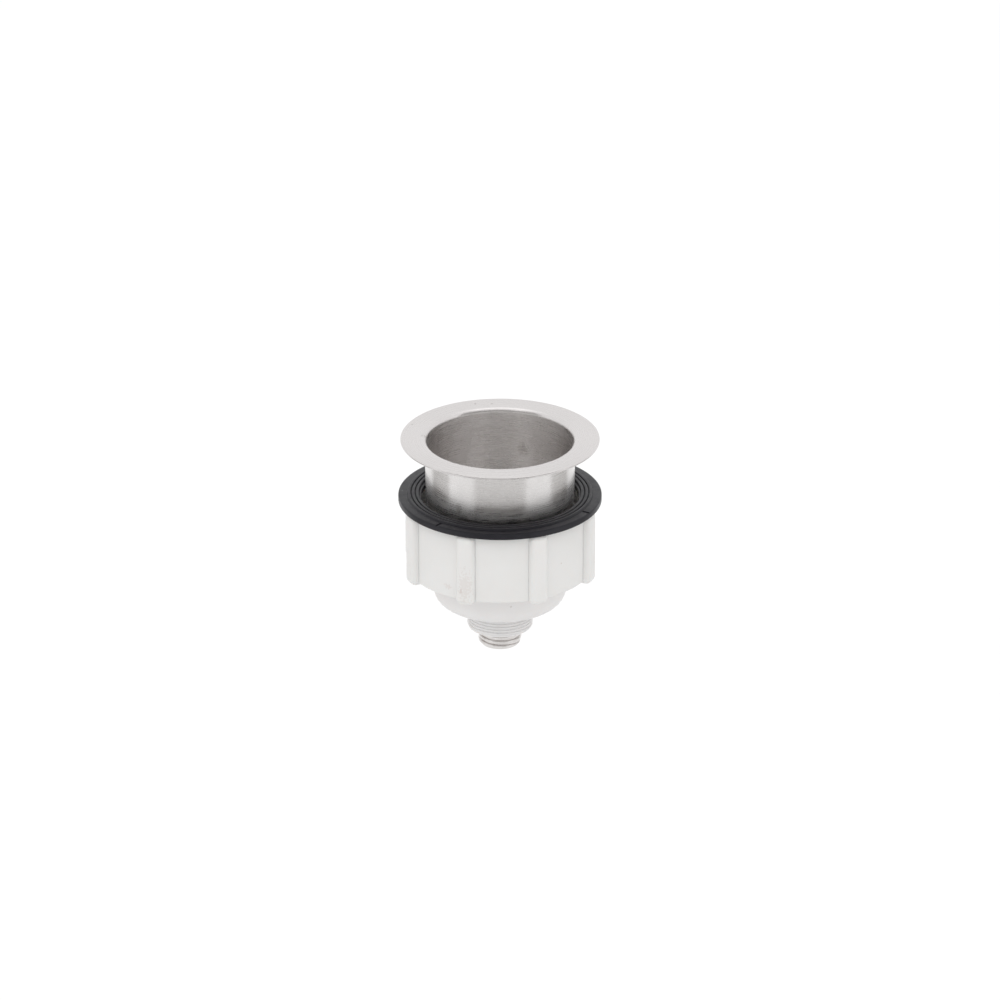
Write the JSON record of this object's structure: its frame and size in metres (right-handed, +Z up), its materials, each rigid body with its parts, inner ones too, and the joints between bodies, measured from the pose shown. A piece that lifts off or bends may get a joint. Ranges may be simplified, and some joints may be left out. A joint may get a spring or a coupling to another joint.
{
  "type": "sink flange set",
  "caption": "Sink flange set: drawn steel bowl with flat flange, hollow slotted screw, stepped rubber gasket, white plastic cup with threaded outlet, clear ring and ribbed union nut.",
  "frame": {"origin": "on the common axis, in the plane where the underside of the flange meets the sink", "axes": "+Z up along the common axis, out of the bowl; X along the sink's front edge, Y to the back"},
  "size_m": [0.1166, 0.1166, 0.128],
  "materials": {
    "drawn_steel": "satin, brushed around the axis",
    "turned_steel": "bright turned",
    "black_rubber": "satin moulded",
    "white_plastic": "satin moulded",
    "clear_plastic": "milky, slightly see-through",
    "nut_plastic": "satin moulded"
  },
  "bodies": {
    "cup": {"plastic_cup": "white_plastic"},
    "gasket": {"rubber_gasket": "black_rubber"},
    "bowl": {"steel_flange_cup": "drawn_steel"},
    "screw": {"hollow_screw": "turned_steel"},
    "ring": {"friction_ring": "clear_plastic"},
    "nut": {"union_nut": "nut_plastic"}
  },
  "joints": [
    {"name": "gasket_lift", "type": "slide", "parent": "cup", "child": "gasket", "axis": [0, 0, 1], "range_m": [0, 0.0345]},
    {"name": "bowl_lift", "type": "slide", "parent": "gasket", "child": "bowl", "axis": [0, 0, 1], "range_m": [0, 0.1556]},
    {"name": "screw_turn", "type": "hinge", "parent": "bowl", "child": "screw", "pos_m": [0, 0, -0.05], "axis": [0, 0, 1], "continuous": true},
    {"name": "nut_drop", "type": "slide", "parent": "cup", "child": "nut", "axis": [0, 0, -1], "range_m": [0, 0.1845]},
    {"name": "ring_drop", "type": "slide", "parent": "cup", "child": "ring", "axis": [0, 0, -1], "range_m": [0, 0.0962]}
  ],
  "couplings": [
    {"joint": "ring_drop", "follows": "nut_drop", "ratio": 0.521}
  ]
}
